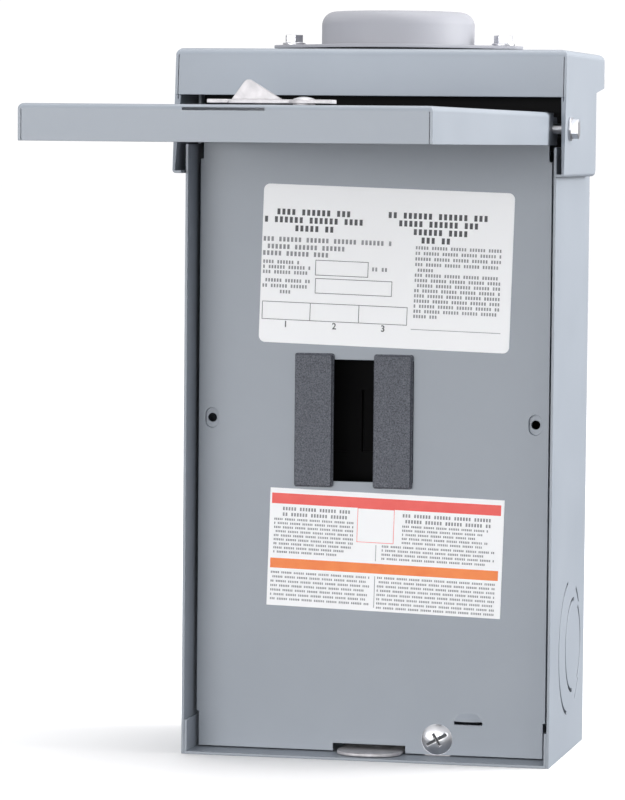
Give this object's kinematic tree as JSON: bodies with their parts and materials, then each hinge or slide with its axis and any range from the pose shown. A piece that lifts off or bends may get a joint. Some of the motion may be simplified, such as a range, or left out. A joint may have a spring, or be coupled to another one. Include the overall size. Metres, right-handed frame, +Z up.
{
  "type": "rainproof subpanel enclosure",
  "caption": "Wall-mounted rainproof subpanel box with an overhanging hood, lift-up front door, inner cover with breaker openings, and a raised hub closing plate.",
  "frame": {"origin": "centre of the rectangle of wall-screw holes, in the plane where the four mounting feet meet the wall", "axes": "+Z up, +Y into the wall, +X to the right seen from the front; the door is stored lifted level, standing out along -Y"},
  "size_m": [0.1946, 0.3988, 0.3525],
  "materials": {
    "paint": "satin grey enamel",
    "drum_paint": "satin grey enamel, slightly warmer",
    "zinc": "bright zinc plating",
    "galvanised": "dull galvanised",
    "tinned": "tin-plated bar",
    "lug": "extruded",
    "moulded": "black moulding",
    "filler": "fine grained dark grey",
    "label": "printed film",
    "sponge": "closed-cell sponge",
    "green_screw": "green dyed"
  },
  "bodies": {
    "enclosure": {"enclosure_wrap": "paint", "bottom_endwall": "paint", "hood": "paint", "top_baffle": "paint", "deadfront_cover": "paint", "hub_closing_plate": "drum_paint", "hub_gasket": "sponge", "hub_plate_screws": "zinc", "hinge_screws": "zinc", "hasp_tongue": "galvanised", "filler_plate_left": "filler", "filler_plate_right": "filler", "cover_screw": "zinc", "cover_screw_bracket": "galvanised", "upper_label": "label", "lower_label": "label", "interior_pan": "galvanised", "bus_base": "moulded", "bus_bar_a": "tinned", "bus_bar_b": "tinned", "bus_bar_c": "tinned", "line_lug_a": "lug", "line_lug_b": "lug", "line_lug_c": "lug", "line_lug_screws": "zinc", "hook_rail": "galvanised", "pan_screws": "zinc", "neutral_base": "moulded", "neutral_bar": "lug", "neutral_screws": "zinc", "bonding_strap": "tinned", "bonding_screw": "green_screw", "ground_bar": "lug", "ground_screws": "zinc", "ground_bar_screws": "zinc"},
    "door": {"door": "paint", "latch_washer": "zinc", "latch_rivet": "zinc"},
    "latch": {"latch_plate": "galvanised"}
  },
  "joints": [
    {"name": "door_hinge", "type": "hinge", "parent": "enclosure", "child": "door", "pos_m": [0, -0.1049, 0.1314], "axis": [1, 0, 0], "range_deg": [-20, 90]},
    {"name": "latch_pivot", "type": "hinge", "parent": "door", "child": "latch", "pos_m": [0.0311, -0.3898, 0.1396], "axis": [0, 0, 1], "range_deg": [0, 9]}
  ]
}
